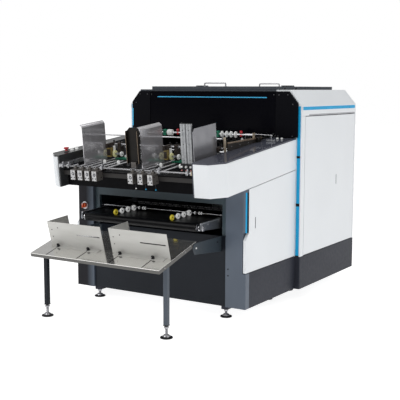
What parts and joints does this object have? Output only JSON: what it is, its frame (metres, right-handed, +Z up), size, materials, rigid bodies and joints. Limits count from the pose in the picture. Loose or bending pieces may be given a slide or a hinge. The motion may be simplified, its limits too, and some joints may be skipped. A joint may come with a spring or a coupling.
{
  "type": "paper grooving machine",
  "caption": "Floor-standing grooving machine with a tilted stack feeder, hooded cabinet with hinged doors and lids, delivery conveyor and a sloped delivery table with sliding trays.",
  "frame": {"origin": "middle of the machine's floor outline, on the floor", "axes": "+X to the operator's right seen from the delivery table, +Y from the delivery table to the cabinet's back, +Z up"},
  "size_m": [1.54, 2.49, 1.6078],
  "materials": {
    "skirt": "satin dark grey paint",
    "slate": "satin slate paint",
    "grey": "satin blue-grey paint",
    "white": "fine textured white powder coat",
    "black": "satin black paint",
    "glass": "smoked black acrylic",
    "lid": "satin dark grey paint",
    "blue": "blue light strip diffuser",
    "steel": "polished stainless sheet",
    "chrome": "ground and plated shaft",
    "alu": "clear anodised",
    "rubber": "black conveyor belt",
    "red": "red moulded plastic",
    "green": "satin green paint"
  },
  "bodies": {
    "machine": {"body_base": "skirt", "cabinet_base": "skirt", "left_column": "grey", "right_column": "grey", "front_panel": "slate", "mouth_frame": "grey", "left_wall": "slate", "right_wall": "slate", "drive_housing": "black", "upper_housing": "black", "left_front_panel": "white", "left_post": "white", "right_post": "white", "left_light_strip": "blue", "right_light_strip": "blue", "roof_shell": "white", "left_frame_plate": "slate", "right_frame_plate": "slate", "rear_cover": "white", "left_rear_panel": "white", "lid_bar": "lid", "hood_frame": "black", "hood_glass": "glass", "left_arm_cover": "white", "right_arm_cover": "white", "left_arm_frame": "slate", "right_arm_frame": "slate", "feeder_bed": "black", "guide_rods": "chrome", "left_feed_rails": "alu", "right_feed_rails": "alu", "left_stack_guide": "alu", "middle_stack_guide": "alu", "right_stack_guide": "alu", "channel_guide": "lid", "slotted_posts": "alu", "left_press_unit": "green", "right_press_unit": "green", "nip_bar": "chrome", "conveyor_belt": "rubber", "conveyor_frame": "steel", "press_bar": "chrome", "stripper_bar": "steel", "output_table": "steel", "left_table_leg": "grey", "right_table_leg": "grey", "left_table_bracket": "slate", "right_table_bracket": "slate", "isolator_plate": "steel", "stop_button": "red"},
    "front_door": {"front_side_door": "white"},
    "rear_door": {"rear_side_door": "white"},
    "front_cover": {"front_lid": "lid", "front_bow": "chrome"},
    "rear_cover_lid": {"rear_lid": "lid", "rear_bow": "chrome"},
    "left_stop": {"left_tray": "steel"},
    "right_stop": {"right_tray": "steel"},
    "isolator": {"isolator_knob": "red"}
  },
  "joints": [
    {"name": "front_door_hinge", "type": "hinge", "parent": "machine", "child": "front_door", "pos_m": [0.7186, 0.21, 0.65], "axis": [0, 0, 1], "range_deg": [0, 90]},
    {"name": "rear_door_hinge", "type": "hinge", "parent": "machine", "child": "rear_door", "pos_m": [0.76, 0.2953, 0.83], "axis": [0, 0, -1], "range_deg": [0, 90]},
    {"name": "front_lid_hinge", "type": "hinge", "parent": "machine", "child": "front_cover", "pos_m": [0, 0.7085, 1.5813], "axis": [-1, 0, 0], "range_deg": [0, 75]},
    {"name": "rear_lid_hinge", "type": "hinge", "parent": "machine", "child": "rear_cover_lid", "pos_m": [0, 0.7495, 1.5813], "axis": [1, 0, 0], "range_deg": [0, 75]},
    {"name": "left_tray_slide", "type": "slide", "parent": "machine", "child": "left_stop", "axis": [0, 0.9632, 0.2689], "range_m": [-0.1, 0.05]},
    {"name": "right_tray_slide", "type": "slide", "parent": "machine", "child": "right_stop", "axis": [0, 0.9632, 0.2689], "range_m": [-0.1, 0.05]},
    {"name": "isolator_turn", "type": "hinge", "parent": "machine", "child": "isolator", "pos_m": [-0.648, -0.5266, 0.693], "axis": [0, -1, 0], "range_deg": [0, 90]}
  ]
}
